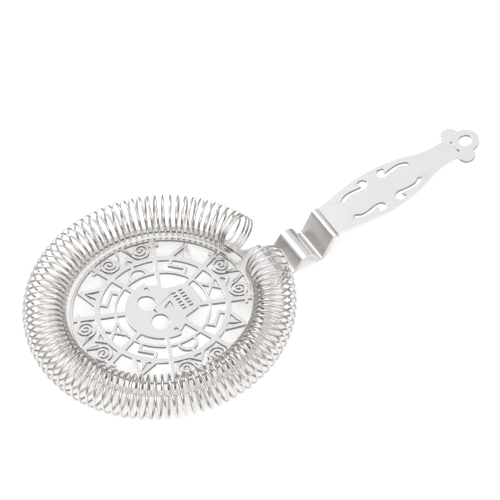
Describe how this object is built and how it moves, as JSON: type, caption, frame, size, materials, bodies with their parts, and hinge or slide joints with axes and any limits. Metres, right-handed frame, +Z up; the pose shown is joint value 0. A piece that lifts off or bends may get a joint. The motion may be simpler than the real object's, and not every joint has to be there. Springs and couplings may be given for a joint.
{
  "type": "hawthorne strainer",
  "caption": "Bar strainer: pierced round plate, stepped neck and flat handle in one sheet, with an open wire coil threaded round the plate's rim.",
  "frame": {"origin": "on the table, below the middle of the strainer's length, on the handle's centre line", "axes": "+X along the handle, away from the coil; +Z up, out of the side that the coil stands proud of; +Y to the left when looking along the handle"},
  "size_m": [0.181, 0.0963, 0.0186],
  "materials": {
    "polished_sheet": "polished",
    "spring_wire": "bright drawn"
  },
  "bodies": {
    "plate": {"strainer_plate": "polished_sheet"},
    "coil": {"coil_spring": "spring_wire"}
  },
  "joints": [
    {"name": "coil_creep", "type": "hinge", "parent": "plate", "child": "coil", "pos_m": [-0.0413, 0, 0.00486], "axis": [0, 0, 1], "range_deg": [-6, 1.5]}
  ]
}
